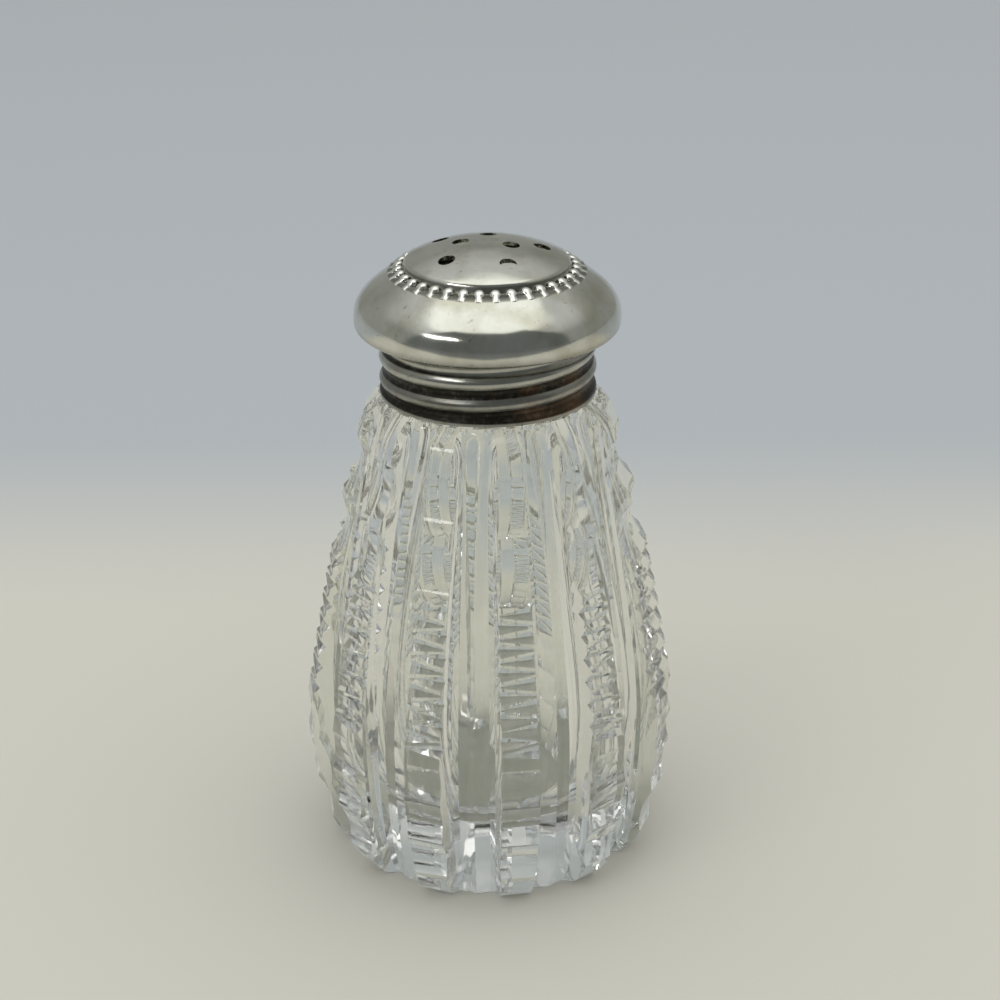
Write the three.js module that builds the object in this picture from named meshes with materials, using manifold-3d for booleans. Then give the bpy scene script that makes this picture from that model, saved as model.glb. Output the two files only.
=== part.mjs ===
// A cut glass shaker: a heavy clear glass bottle, wheel-cut all round, with a screw-on pierced silver cap.
// Millimetres, +Z up, standing on its foot at the origin.
import * as THREE from 'three';
import { mergeVertices } from 'three/addons/utils/BufferGeometryUtils.js';
import Module from 'manifold-3d';

const wasm = await Module();
wasm.setup();

// Driving sizes
const columns = 12; // notched columns round the body
const firstColumn = -81; // degrees from +X to the column nearest the front
const widestRadius = 22.1; // over the columns
const widestHeight = 18;
const shoulderRadius = 14.9; // over the columns, where they start to turn in to the neck
const shoulderHeight = 53.4;
const ledgeHeight = 56.9; // the ledge that the collar stands on
const neckHeight = 9.1; // from the ledge to the rim of the glass mouth
const neckRadius = 10.85;
const pitch = 2.54; // of the screw thread, one start, right-handed
const sheet = 0.4; // the cap's sheet metal
const collarClearance = 0.3; // of the collar over the ledge
const collarHeight = 7.4;
const bulgeRadius = 15.05; // widest part of the cap
const domeHeight = 10.05; // from the seam with the collar to the top

const turn = 2 * Math.PI;
const sector = turn / columns;
const radians = THREE.MathUtils.degToRad;
const { lerp } = THREE.MathUtils;

// A closed three.js geometry as a solid that can be joined and cut
function solidOf(geometry) {
  const bare = geometry.clone();
  bare.deleteAttribute('normal');
  bare.deleteAttribute('uv');
  const merged = mergeVertices(bare, 1e-4);
  return new wasm.Manifold(new wasm.Mesh({
    numProp: 3,
    vertProperties: merged.attributes.position.array,
    triVerts: new Uint32Array(merged.index.array),
  }));
}

function geometryOf(solid) {
  const mesh = solid.getMesh();
  const geometry = new THREE.BufferGeometry();
  geometry.setAttribute('position', new THREE.BufferAttribute(mesh.vertProperties, 3));
  geometry.setIndex(new THREE.BufferAttribute(mesh.triVerts, 1));
  const flat = geometry.toNonIndexed();
  flat.computeVertexNormals();
  return flat;
}

// A profile of (radius, height) points spun round the Z axis
function spun(profile, segments) {
  return new THREE.LatheGeometry(profile, segments).rotateX(Math.PI / 2);
}

// Closed rings of equal count, from the lowest to the highest, skinned and capped
function lofted(rings) {
  const count = rings[0].length;
  const positions = rings.flat().flatMap((point) => point.toArray());
  const index = [];
  for (let level = 0; level + 1 < rings.length; level++) {
    for (let i = 0; i < count; i++) {
      const a = level * count + i;
      const b = level * count + (i + 1) % count;
      index.push(a, b, b + count, a, b + count, a + count);
    }
  }
  const low = rings.flat().length;
  const high = low + 1;
  const last = (rings.length - 1) * count;
  positions.push(0, 0, rings[0][0].z, 0, 0, rings.at(-1)[0].z);
  for (let i = 0; i < count; i++) {
    const next = (i + 1) % count;
    index.push(low, next, i, high, last + i, last + next);
  }
  const geometry = new THREE.BufferGeometry();
  geometry.setAttribute('position', new THREE.Float32BufferAttribute(positions, 3));
  geometry.setIndex(index);
  return geometry;
}

// Radius of an outline of joined curves at a height
function radiusOn(outline, height) {
  const curve = outline.find((piece) => height <= piece.getPoint(1).y) ?? outline.at(-1);
  let low = 0;
  let high = 1;
  for (let step = 0; step < 30; step++) {
    const middle = (low + high) / 2;
    if (curve.getPoint(middle).y < height) low = middle;
    else high = middle;
  }
  return curve.getPoint(low).x;
}

const at = (radius, height) => new THREE.Vector2(radius, height);

// The bottle before the notches: over the columns it is a bell, and the sharp ridges that stand
// midway between the columns follow a slimmer bell.
const footRadius = 0.77 * widestRadius;
const ridgeFootRadius = 0.75 * widestRadius;
const ridgeRadius = 0.85 * widestRadius;
const ridgeShoulder = 0.9 * shoulderRadius;
const ledgeRadius = neckRadius + 1.35;
const ofBell = (share) => lerp(widestHeight, shoulderHeight, share);
const ofShoulder = (share) => lerp(shoulderHeight, ledgeHeight, share);
const columnOutline = [
  new THREE.CubicBezierCurve(
    at(footRadius, 0), at(0.92 * widestRadius, 0.09 * widestHeight),
    at(widestRadius, widestHeight / 2), at(widestRadius, widestHeight),
  ),
  new THREE.CubicBezierCurve(
    at(widestRadius, widestHeight), at(0.965 * widestRadius, ofBell(0.13)),
    at(0.87 * widestRadius, ofBell(0.54)), at(shoulderRadius, shoulderHeight),
  ),
  new THREE.QuadraticBezierCurve(
    at(shoulderRadius, shoulderHeight), at(0.96 * shoulderRadius, ofShoulder(0.63)),
    at(ledgeRadius, ledgeHeight),
  ),
];
const ridgeOutline = [
  new THREE.CubicBezierCurve(
    at(ridgeFootRadius, 0), at(0.95 * ridgeRadius, widestHeight / 6),
    at(ridgeRadius, widestHeight / 2), at(ridgeRadius, widestHeight),
  ),
  new THREE.CubicBezierCurve(
    at(ridgeRadius, widestHeight), at(ridgeRadius, ofBell(0.2)),
    at(0.86 * ridgeRadius, ofBell(0.62)), at(ridgeShoulder, ofShoulder(0.34)),
  ),
  new THREE.QuadraticBezierCurve(
    at(ridgeShoulder, ofShoulder(0.34)), at(0.96 * ridgeShoulder, ofShoulder(0.86)),
    at(ledgeRadius, ledgeHeight),
  ),
];

const columnHalfWidth = 0.08 * widestRadius; // of the flat top of a column
const fluteDepth = 0.023 * widestRadius; // of the flutes beside it, below the ridges
const valleyAngle = radians(11); // from a column's centre to the bottom of the flute

function bodyRing(height) {
  const column = radiusOn(columnOutline, height);
  const ridge = radiusOn(ridgeOutline, height);
  const hollow = Math.min(fluteDepth, (fluteDepth + column - ridge) / 2);
  const half = [
    at(column, columnHalfWidth),
    at(ridge - hollow, 0).rotateAround(at(0, 0), valleyAngle),
  ];
  const mirrored = half.map((point) => at(point.x, -point.y)).reverse();
  const edge = at(ridge, 0).rotateAround(at(0, 0), sector / 2);
  const ring = [];
  for (let i = 0; i < columns; i++) {
    const angle = radians(firstColumn) + i * sector;
    for (const point of [...mirrored, ...half, edge]) {
      const placed = point.clone().rotateAround(at(0, 0), angle);
      ring.push(new THREE.Vector3(placed.x, placed.y, height));
    }
  }
  return ring;
}

const bodyHeights = [
  ...[0, 0.07, 0.2, 0.4, 0.67, 1].map((share) => share * widestHeight),
  ...[0.155, 0.34, 0.55, 0.78, 0.9, 1].map(ofBell),
  ...[0.57, 1].map(ofShoulder),
];

// The screw neck and its lip
const lipHeight = ledgeHeight + neckHeight;
const lipRound = 0.05 * neckHeight;
const neckFoot = ledgeHeight - neckHeight / 3; // the neck starts inside the shoulder
const neckProfile = [
  at(0, neckFoot),
  at(neckRadius, neckFoot),
  at(neckRadius, lipHeight - lipRound),
  at(neckRadius - lipRound, lipHeight),
  at(0, lipHeight),
];

// The space inside, over a thick solid base
const floorHeight = 0.47 * widestHeight;
const insideRadius = 0.815 * ridgeRadius;
const boreRadius = 0.755 * neckRadius;
const insideHeel = new THREE.QuadraticBezierCurve(
  at(0.7 * insideRadius, floorHeight), at(insideRadius, floorHeight), at(insideRadius, widestHeight),
);
const insideWall = new THREE.CubicBezierCurve(
  at(insideRadius, widestHeight), at(insideRadius, ofBell(0.28)),
  at(1.22 * boreRadius, ofBell(0.86)), at(boreRadius, ledgeHeight),
);
const insideProfile = [
  at(0, floorHeight),
  ...insideHeel.getPoints(4),
  ...insideWall.getPoints(6).slice(1),
  at(boreRadius, lipHeight - lipRound),
  at(boreRadius + lipRound, lipHeight),
  at(boreRadius + lipRound, lipHeight + lipRound),
  at(0, lipHeight + lipRound),
];

// The moulded thread: a rounded bead that climbs the neck and dies away at both ends
const beadCrest = neckRadius + 0.3 * pitch; // radius over the bead
const beadHalfWidth = 0.31 * pitch;
const beadTurns = 2.5;
const beadStart = ledgeHeight + 0.63 * pitch; // height of its lower end
const beadPhase = radians(123); // angle of its lower end
const stepsPerTurn = 24;

function threadBead() {
  const steps = Math.round(beadTurns * stepsPerTurn);
  const fadeSteps = 4;
  const footing = neckRadius - 0.12 * pitch;
  const section = [[0, -1], [1, -0.35], [1, 0.35], [0, 1]];
  const positions = [];
  const index = [];
  for (let step = 0; step <= steps; step++) {
    const fade = Math.min(1, step / fadeSteps, (steps - step) / fadeSteps);
    const crest = lerp(lerp(footing, neckRadius, 0.5), beadCrest, fade);
    const angle = beadPhase + step / stepsPerTurn * turn;
    for (const [out, along] of section) {
      const radius = lerp(footing, crest, out);
      const height = beadStart + step / stepsPerTurn * pitch + along * beadHalfWidth;
      positions.push(radius * Math.cos(angle), radius * Math.sin(angle), height);
    }
  }
  const count = section.length;
  for (let step = 0; step < steps; step++) {
    for (let i = 0; i < count; i++) {
      const a = step * count + i;
      const b = step * count + (i + 1) % count;
      index.push(a, a + count, b + count, a, b + count, b);
    }
  }
  const last = steps * count;
  for (let i = 1; i + 1 < count; i++) {
    index.push(0, i, i + 1, last, last + i + 1, last + i);
  }
  const geometry = new THREE.BufferGeometry();
  geometry.setAttribute('position', new THREE.Float32BufferAttribute(positions, 3));
  geometry.setIndex(index);
  return geometry;
}

// Wheel cuts across each column: large round hollows near the shoulder and the foot, and a row of
// fine mitre notches between them
const shoulderCutRadius = 0.245 * widestRadius;
const shoulderCutDepth = 0.052 * widestRadius;
const footCutRadius = 0.36 * widestRadius;
const footCutDepth = 0.028 * widestRadius;
const largeCuts = [
  { height: ofBell(0.907), radius: shoulderCutRadius, depth: shoulderCutDepth },
  { height: ofBell(0.69), radius: shoulderCutRadius, depth: shoulderCutDepth },
  { height: 0.96 * widestHeight, radius: footCutRadius, depth: footCutDepth },
  { height: 0.62 * widestHeight, radius: footCutRadius, depth: footCutDepth },
  { height: 0.26 * widestHeight, radius: footCutRadius, depth: footCutDepth },
];
const notchCount = 13;
const firstNotch = ofBell(0.548);
const notchPitch = 0.0375 * (shoulderHeight - widestHeight);
const notchWidth = 0.92 * notchPitch; // at the surface of the column
const notchDepth = 0.45 * notchPitch;
const cutLength = 4 * columnHalfWidth; // of a cut, across the column

function roundCut({ height, radius, depth }) {
  const centre = radiusOn(columnOutline, height) - depth + radius;
  return new THREE.CylinderGeometry(radius, radius, cutLength, 14).translate(centre, 0, height);
}

function mitreCut(height) {
  const [low, high] = [height - notchPitch, height + notchPitch];
  const slope = (radiusOn(columnOutline, high) - radiusOn(columnOutline, low)) / (high - low);
  const wedge = new THREE.Shape([
    at(-notchDepth, 0), at(notchDepth, -notchWidth), at(notchDepth, notchWidth),
  ]);
  return new THREE.ExtrudeGeometry(wedge, { depth: cutLength, bevelEnabled: false })
    .translate(0, 0, -cutLength / 2)
    .rotateX(Math.PI / 2)
    .rotateY(Math.atan(slope))
    .translate(radiusOn(columnOutline, height), 0, height);
}

function glassBody() {
  let body = solidOf(lofted(bodyHeights.map(bodyRing)));
  body = body.add(solidOf(spun(neckProfile, stepsPerTurn)));
  body = body.add(solidOf(threadBead()));
  body = body.subtract(solidOf(spun(insideProfile, 30)));
  const cuts = largeCuts.map(roundCut);
  for (let i = 0; i < notchCount; i++) cuts.push(mitreCut(firstNotch - i * notchPitch));
  for (let i = 0; i < columns; i++) {
    const angle = radians(firstColumn) + i * sector;
    for (const cut of cuts) body = body.subtract(solidOf(cut.clone().rotateZ(angle)));
  }
  return geometryOf(body);
}

// The domed top: the crown, a step down to the channel that holds the ring of beads, the bulge, and
// the lip turned in
const capSegments = 36;
const seamHeight = ledgeHeight + collarClearance + collarHeight;
const ofDome = (share) => seamHeight + share * domeHeight;
const bulgeHeight = ofDome(0.135); // of its widest part
const channelHeight = ofDome(0.66); // of its outer edge
const channelFloor = ofDome(0.68);
const crownEdge = ofDome(0.78);
const apexHeight = ofDome(1);
const channelRadius = 0.731 * bulgeRadius;
const crownRadius = 0.618 * bulgeRadius;
const stepFoot = crownRadius + 0.02 * bulgeRadius; // radius at the foot of the step

function domeLine(seamRadius) {
  const ofBulge = (share) => lerp(bulgeHeight, channelHeight, share);
  const rise = apexHeight - crownEdge;
  const sphere = (crownRadius ** 2 + rise ** 2) / (2 * rise);
  const edge = Math.acos(crownRadius / sphere);
  const under = new THREE.CubicBezierCurve(
    at(seamRadius, seamHeight), at(lerp(seamRadius, bulgeRadius, 0.8), seamHeight),
    at(bulgeRadius, lerp(seamHeight, bulgeHeight, 0.1)), at(bulgeRadius, bulgeHeight),
  );
  const bulge = new THREE.CubicBezierCurve(
    at(bulgeRadius, bulgeHeight), at(bulgeRadius, ofBulge(0.52)),
    at(lerp(channelRadius, bulgeRadius, 0.49), ofBulge(0.66)), at(channelRadius, channelHeight),
  );
  const crown = new THREE.EllipseCurve(0, apexHeight - sphere, sphere, sphere, edge, Math.PI / 2);
  const step = at(stepFoot, channelFloor);
  return [...under.getPoints(3), ...bulge.getPoints(5).slice(1), step, ...crown.getPoints(3)];
}

// A line from the lip to the top, moved in by the thickness of the sheet
function inside(line) {
  return line.map((point, i) => {
    const along = line[Math.min(i + 1, line.length - 1)].clone().sub(line[Math.max(i - 1, 0)]);
    const inwards = at(-along.y, along.x).setLength(sheet);
    return point.clone().add(inwards);
  });
}

// The beads are pressed up out of the sheet, each longer than it is wide
const beadCount = 36;
const beadRingRadius = (stepFoot + channelRadius) / 2;
const beadWidth = 0.63 * turn * beadRingRadius / beadCount;
const beadStretch = 1.15;
const beadRise = 0.05 * bulgeRadius; // of which a little is in the sheet

const holeRadius = 0.063 * bulgeRadius;
const outerRing = 0.41 * bulgeRadius;
const innerRing = 0.195 * bulgeRadius;
const holes = [
  ...[-122, -46, 22, 94, 178].map((angle) => ({ ring: outerRing, angle })),
  ...[-94, 67, 177].map((angle) => ({ ring: innerRing, angle })),
];

function capDome() {
  const line = domeLine(rollCrest + seamGap);
  const profile = [...inside(line).reverse(), ...line];
  profile[0].x = 0;
  profile.at(-1).x = 0;
  let dome = solidOf(spun(profile, capSegments));
  for (let i = 0; i < beadCount; i++) {
    const bead = new THREE.CylinderGeometry(beadWidth / 4, beadWidth / 2, beadRise, 6)
      .rotateX(Math.PI / 2)
      .scale(beadStretch, 1, 1)
      .translate(beadRingRadius, 0, channelFloor + 0.2 * beadRise)
      .rotateZ((i + 0.5) / beadCount * turn);
    dome = dome.add(solidOf(bead));
  }
  for (const { ring, angle } of holes) {
    const punch = new THREE.CylinderGeometry(holeRadius, holeRadius, domeHeight, 10)
      .rotateX(Math.PI / 2)
      .translate(0, -ring, apexHeight)
      .rotateZ(radians(angle));
    dome = dome.subtract(solidOf(punch));
  }
  return geometryOf(dome);
}

// The collar: a sheet tube rolled to a thread that runs on the bead of the neck
const collarBottom = seamHeight - collarHeight;
const collarTop = seamHeight + sheet; // its plain upper end stands inside the dome's lip
const rollDepth = 0.22 * pitch;
const rollCrest = beadCrest + 0.12 * pitch + sheet; // outside radius on a roll
const rollFade = 0.3 * pitch; // height in which the rolls die away at each end
const plainEnd = 0.12 * pitch;
const collarLevels = 12;
const seamGap = 0.1; // round the collar, in the dome's lip

function rollRadius(angle, height) {
  const along = height - (beadStart + (angle - beadPhase) / turn * pitch);
  const wave = rollDepth * (1 - Math.cos(along / pitch * turn)) / 2;
  const fromEnd = Math.min(height - collarBottom, collarTop - height) - plainEnd;
  return rollCrest - wave * THREE.MathUtils.smoothstep(fromEnd, 0, rollFade);
}

function capCollar() {
  const ringAt = (level, inset) => {
    const height = lerp(collarBottom, collarTop, level / collarLevels);
    return Array.from({ length: capSegments }, (_, i) => {
      const angle = i / capSegments * turn;
      const radius = rollRadius(angle, height) - inset;
      return new THREE.Vector3(radius * Math.cos(angle), radius * Math.sin(angle), height);
    });
  };
  const rings = [];
  for (let level = 0; level <= collarLevels; level++) rings.push(ringAt(level, 0));
  for (let level = collarLevels; level >= 0; level--) rings.push(ringAt(level, sheet));
  const positions = rings.flat().flatMap((point) => point.toArray());
  const index = [];
  for (let ring = 0; ring < rings.length; ring++) {
    const next = (ring + 1) % rings.length;
    for (let i = 0; i < capSegments; i++) {
      const side = (i + 1) % capSegments;
      const [a, b] = [ring * capSegments + i, ring * capSegments + side];
      const [c, d] = [next * capSegments + side, next * capSegments + i];
      index.push(a, b, c, a, c, d);
    }
  }
  const geometry = new THREE.BufferGeometry();
  geometry.setAttribute('position', new THREE.Float32BufferAttribute(positions, 3));
  geometry.setIndex(index);
  const flat = geometry.toNonIndexed();
  flat.computeVertexNormals();
  return flat;
}

// The solder that joins them: a fillet all round, under the dome's lip and outside the collar
const solderWidth = 1.25 * sheet;
const solderHeight = sheet;

function solderRing() {
  const inner = rollCrest + seamGap;
  const top = seamHeight - seamGap;
  return spun([
    at(inner, top - solderHeight),
    at(inner + 0.4 * solderWidth, top - 0.6 * solderHeight),
    at(inner + solderWidth, top),
    at(inner, top),
    at(inner, top - solderHeight),
  ], capSegments);
}

const clearGlass = { color: 0xdfe4df, roughness: 0.05, metalness: 0, transparent: true, opacity: 0.35 };
const agedSilver = { color: 0xb9b7ae, roughness: 0.25, metalness: 1 };
const darkSeam = { color: 0x6f6b62, roughness: 0.45, metalness: 1 };

function mesh(name, geometry, looks) {
  const made = new THREE.Mesh(geometry, new THREE.MeshStandardMaterial(looks));
  made.name = name;
  return made;
}

const shaker = new THREE.Group();
shaker.name = 'cut_glass_shaker';
const cap = new THREE.Group();
cap.add(mesh('cap_dome', capDome(), agedSilver));
cap.add(mesh('cap_collar', capCollar(), agedSilver));
cap.add(mesh('solder_ring', solderRing(), darkSeam));
shaker.add(mesh('glass_body', glassBody(), clearGlass));
shaker.add(cap);

export default shaker;
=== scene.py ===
# %% [markdown]
# A cut glass shaker with a screwed silver cap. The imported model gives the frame: every piece made
# here sits where the model says, in metres, with the foot of the bottle at the origin.

import bmesh
import bpy
import math
import random
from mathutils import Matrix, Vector
from types import SimpleNamespace


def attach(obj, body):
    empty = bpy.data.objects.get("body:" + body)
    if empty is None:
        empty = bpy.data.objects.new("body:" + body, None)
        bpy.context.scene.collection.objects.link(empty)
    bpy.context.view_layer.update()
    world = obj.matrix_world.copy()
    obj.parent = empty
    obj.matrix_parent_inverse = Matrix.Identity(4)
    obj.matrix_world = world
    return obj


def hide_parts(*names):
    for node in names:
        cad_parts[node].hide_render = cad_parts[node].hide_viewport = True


MM = 0.001  # a millimetre, in metres

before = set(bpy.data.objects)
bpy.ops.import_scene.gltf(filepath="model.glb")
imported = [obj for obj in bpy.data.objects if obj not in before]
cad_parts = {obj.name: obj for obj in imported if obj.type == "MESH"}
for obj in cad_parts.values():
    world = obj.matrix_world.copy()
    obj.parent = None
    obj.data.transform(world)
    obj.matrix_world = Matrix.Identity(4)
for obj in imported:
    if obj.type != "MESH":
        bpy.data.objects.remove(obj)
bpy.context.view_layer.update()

# %% [markdown]
# The camera stands where the photograph was taken from, a little over a hand's length in front and
# looking down at the shaker. Its height, distance and tilt were worked out from the ovals that the
# round rims make in the picture. A long lens keeps the sides nearly parallel.

# %% Camera
CAMERA_DISTANCE = 0.235  # in metres
CAMERA_HEIGHT = 0.1465
CAMERA_TILT = math.radians(23.73)
CAMERA_ROLL = math.radians(-0.42)
FOCAL_PIXELS = 2205
IMAGE_SIDE = 1000
AXIS_PIXEL = 488.8  # where the shaker's axis stands in the picture
SENSOR_WIDTH = 36  # in millimetres

bpy.ops.object.camera_add(
    location=(0, -CAMERA_DISTANCE, CAMERA_HEIGHT),
    rotation=(math.pi / 2 - CAMERA_TILT, 0, 0),
)
camera = bpy.context.object
camera.rotation_euler.rotate_axis("Z", CAMERA_ROLL)
camera.data.sensor_width = SENSOR_WIDTH
camera.data.lens = SENSOR_WIDTH * FOCAL_PIXELS / IMAGE_SIDE
camera.data.shift_x = 0.5 - AXIS_PIXEL / IMAGE_SIDE
bpy.context.scene.camera = camera
bpy.context.scene.view_settings.view_transform = "Standard"
print("the lens is", round(camera.data.lens, 1), "mm long")

# %% [markdown]
# All sizes below are in millimetres, as a maker gives them, and MM turns them to metres. The driving
# sizes are the model's own, so that each fine piece lies on the plain one that it stands for. Outlines
# are points in a plane: how far from the axis, and how high.

# %% Sizes shared by the pieces
COLUMNS = 12
FIRST_COLUMN = math.radians(-81)
SECTOR = 2 * math.pi / COLUMNS
WIDEST_RADIUS = 22.1
WIDEST_HEIGHT = 18
SHOULDER_RADIUS = 14.9
SHOULDER_HEIGHT = 53.4
LEDGE_HEIGHT = 56.9  # the neck rises from the ledge
LIP_HEIGHT = 66
NECK_RADIUS = 10.85
PITCH = 2.54  # of the screw
SHEET = 0.4  # thickness of the silver
SEAM_HEIGHT = 64.6
BULGE_RADIUS = 15.05
DOME_HEIGHT = 10.05


def lerp(first, second, share):
    """A value some share of the way from the first to the second."""
    return first + (second - first) * share


def curve(controls, steps):
    """Points on a smooth curve that leaves the first control point and ends on the last."""
    points = []
    for step in range(steps + 1):
        row = [Vector(control) for control in controls]
        while len(row) > 1:
            row = [a.lerp(b, step / steps) for a, b in zip(row, row[1:])]
        points.append(row[0])
    return points


def joined(*curves):
    """Curves end to end, without the doubled points where they meet."""
    line = list(curves[0])
    for points in curves[1:]:
        line += points[1:]
    return line


def arc(centre, wide, high, start, end, steps):
    """Points on part of an ellipse, angles in degrees."""
    angles = [math.radians(lerp(start, end, step / steps)) for step in range(steps + 1)]
    return [Vector((centre[0] + wide * math.cos(a), centre[1] + high * math.sin(a))) for a in angles]


def radius_at(line, height):
    """How far from the axis an outline is at a height."""
    for low, high in zip(line, line[1:]):
        if low.y <= height <= high.y and high.y > low.y:
            return lerp(low.x, high.x, (height - low.y) / (high.y - low.y))
    return line[-1].x


# %% [markdown]
# Round pieces are made as on a lathe: an outline is drawn point by point with Extrude, and Spin turns
# it round the upright axis. A few helpers keep each step short. An operator acts on all that is
# selected, so everything is let go before a new piece starts.

# %% Helpers that draw and spin
AXIS = {"center": (0, 0, 0), "axis": (0, 0, 1)}


def pick(*pieces):
    """Only these pieces are selected, and the first of them is the active one."""
    bpy.ops.object.select_all(action="DESELECT")
    for piece in pieces:
        piece.select_set(True)
    bpy.context.view_layer.objects.active = pieces[0]


def edit():
    """Edit mode, with all points selected."""
    bpy.ops.object.mode_set(mode="EDIT")
    bpy.ops.mesh.select_mode(type="VERT")
    bpy.ops.mesh.select_all(action="SELECT")


def leave_edit():
    bpy.ops.object.mode_set(mode="OBJECT")


def draw_line(name, points, angle=0.0):
    """One point is placed on the outline's start and extruded from point to point. The outline stands
    upright, turned by an angle from +X."""
    bpy.ops.object.select_all(action="DESELECT")
    bpy.ops.mesh.primitive_plane_add(size=MM)
    piece = bpy.context.object
    piece.name = name
    along = Vector((math.cos(angle), math.sin(angle), 0)) * MM
    edit()
    bpy.ops.mesh.merge(type="CENTER")
    first = points[0]
    bpy.ops.transform.translate(value=along * first.x + Vector((0, 0, first.y * MM)))
    for before, after in zip(points, points[1:]):
        step = after - before
        move = along * step.x + Vector((0, 0, step.y * MM))
        bpy.ops.mesh.extrude_region_move(TRANSFORM_OT_translate={"value": move})
    return piece


def tidy_mesh():
    """In edit mode: doubles are merged, and the faces are then turned to point outwards."""
    bpy.ops.mesh.select_all(action="SELECT")
    bpy.ops.mesh.remove_doubles(threshold=1e-3 * MM)
    bpy.ops.mesh.normals_make_consistent(inside=False)


def lathe(name, points, steps=144):
    """A round piece, spun from its outline."""
    piece = draw_line(name, points)
    bpy.ops.mesh.select_all(action="SELECT")
    bpy.ops.mesh.spin(steps=steps, angle=2 * math.pi, **AXIS)
    tidy_mesh()
    leave_edit()
    return piece


def repeat_round(piece, count):
    """Copies of the piece's mesh stand all round the axis."""
    pick(piece)
    edit()
    bpy.ops.mesh.spin(steps=count, angle=2 * math.pi, dupli=True, **AXIS)
    tidy_mesh()
    leave_edit()


# %% [markdown]
# Pieces are repeated, joined and cut out of each other. Every cut or join of two solids is a Boolean,
# and a report after it shows whether the solid is still closed.

# %% Helpers that repeat, join and cut
def apply_place(piece):
    """The piece's own place and turn go into its mesh."""
    pick(piece)
    bpy.ops.object.transform_apply(location=True, rotation=True, scale=True)


def join(pieces):
    pick(*pieces)
    bpy.ops.object.join()
    return pieces[0]


def combine(piece, tool, operation):
    """Cuts a tool out of the piece, or joins it on, and takes the tool away."""
    modifier = piece.modifiers.new(operation.lower(), "BOOLEAN")
    modifier.operation = operation
    modifier.solver = "MANIFOLD"
    modifier.object = tool
    pick(piece)
    bpy.ops.object.modifier_apply(modifier=modifier.name)
    bpy.data.objects.remove(tool)


def report(piece):
    """Prints the piece's size. A closed solid has no open edge, and its volume is above zero."""
    mesh = bmesh.new()
    mesh.from_mesh(piece.data)
    open_edges = sum(1 for edge in mesh.edges if len(edge.link_faces) != 2)
    volume = round(mesh.calc_volume(signed=True) / MM**3)
    mesh.free()
    sides = [round(side / MM, 2) for side in piece.dimensions]
    print(piece.name, sides, "mm,", volume, "cubic mm")
    print(len(piece.data.polygons), "faces,", open_edges, "open edges")


def smooth(piece, degrees):
    """Smooth shading, but not over edges sharper than an angle."""
    pick(piece)
    bpy.ops.object.shade_smooth_by_angle(angle=math.radians(degrees))


# %% [markdown]
# The bottle. A real one is pressed or blown as a plain thick blank, and a cutter then grinds it on
# stone wheels. This follows the same order, and the blank comes first. It is a bell with two outlines:
# one runs up the middle of a column, and one up the ridge between two columns, which lies deeper.

# %% Bottle outlines
RIDGE_RADIUS = 0.85 * WIDEST_RADIUS
RIDGE_SHOULDER = 0.9 * SHOULDER_RADIUS
LEDGE_RADIUS = NECK_RADIUS + 1.35


def of_bell(share):
    """A height between the widest part and the shoulder."""
    return lerp(WIDEST_HEIGHT, SHOULDER_HEIGHT, share)


def of_shoulder(share):
    """A height between the shoulder and the ledge."""
    return lerp(SHOULDER_HEIGHT, LEDGE_HEIGHT, share)


RIDGE_TURN = of_shoulder(0.34)
column_line = joined(
    curve([(0.77 * WIDEST_RADIUS, 0), (0.92 * WIDEST_RADIUS, 0.09 * WIDEST_HEIGHT),
           (WIDEST_RADIUS, WIDEST_HEIGHT / 2), (WIDEST_RADIUS, WIDEST_HEIGHT)], 16),
    curve([(WIDEST_RADIUS, WIDEST_HEIGHT), (0.965 * WIDEST_RADIUS, of_bell(0.13)),
           (0.87 * WIDEST_RADIUS, of_bell(0.54)), (SHOULDER_RADIUS, SHOULDER_HEIGHT)], 36),
    curve([(SHOULDER_RADIUS, SHOULDER_HEIGHT), (0.96 * SHOULDER_RADIUS, of_shoulder(0.63)),
           (LEDGE_RADIUS, LEDGE_HEIGHT)], 8),
)
ridge_line = joined(
    curve([(0.75 * WIDEST_RADIUS, 0), (0.95 * RIDGE_RADIUS, WIDEST_HEIGHT / 6),
           (RIDGE_RADIUS, WIDEST_HEIGHT / 2), (RIDGE_RADIUS, WIDEST_HEIGHT)], 60),
    curve([(RIDGE_RADIUS, WIDEST_HEIGHT), (RIDGE_RADIUS, of_bell(0.2)),
           (0.86 * RIDGE_RADIUS, of_bell(0.62)), (RIDGE_SHOULDER, RIDGE_TURN)], 90),
    curve([(RIDGE_SHOULDER, RIDGE_TURN), (0.96 * RIDGE_SHOULDER, of_shoulder(0.86)),
           (LEDGE_RADIUS, LEDGE_HEIGHT)], 30),
)
print("a column's outline has", len(column_line), "points")

# %% [markdown]
# Every sector of the bell has a column in the middle, with a hollow flute on each side, and two flutes
# meet in a sharp ridge. One sector is spun from the column's outline, and its flutes are pushed in by
# scaling rows of points towards the axis, down to the ridge's outline and a little deeper. Scaling
# leaves the columns on the bell, which a bevel or an inset wouldn't.

# %% One sector of the blank, with its flutes
SECTOR_STEPS = 16
STEP = SECTOR / SECTOR_STEPS
COLUMN_EDGE = 3  # steps from a column's middle to its edge
FLUTE_DEPTH = 0.5  # under the ridge; less where the column hardly stands out
FLUTE_SHARE = {4: 0.85, 5: 1.0}  # how far down the flute's side each row of points is
FLUTE_FLOOR = 5  # the row where the flute is deepest
SAME_HEIGHT = 1e-4 * MM  # points this close to a height or an angle are at it
SAME_ANGLE = 1e-4


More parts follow.
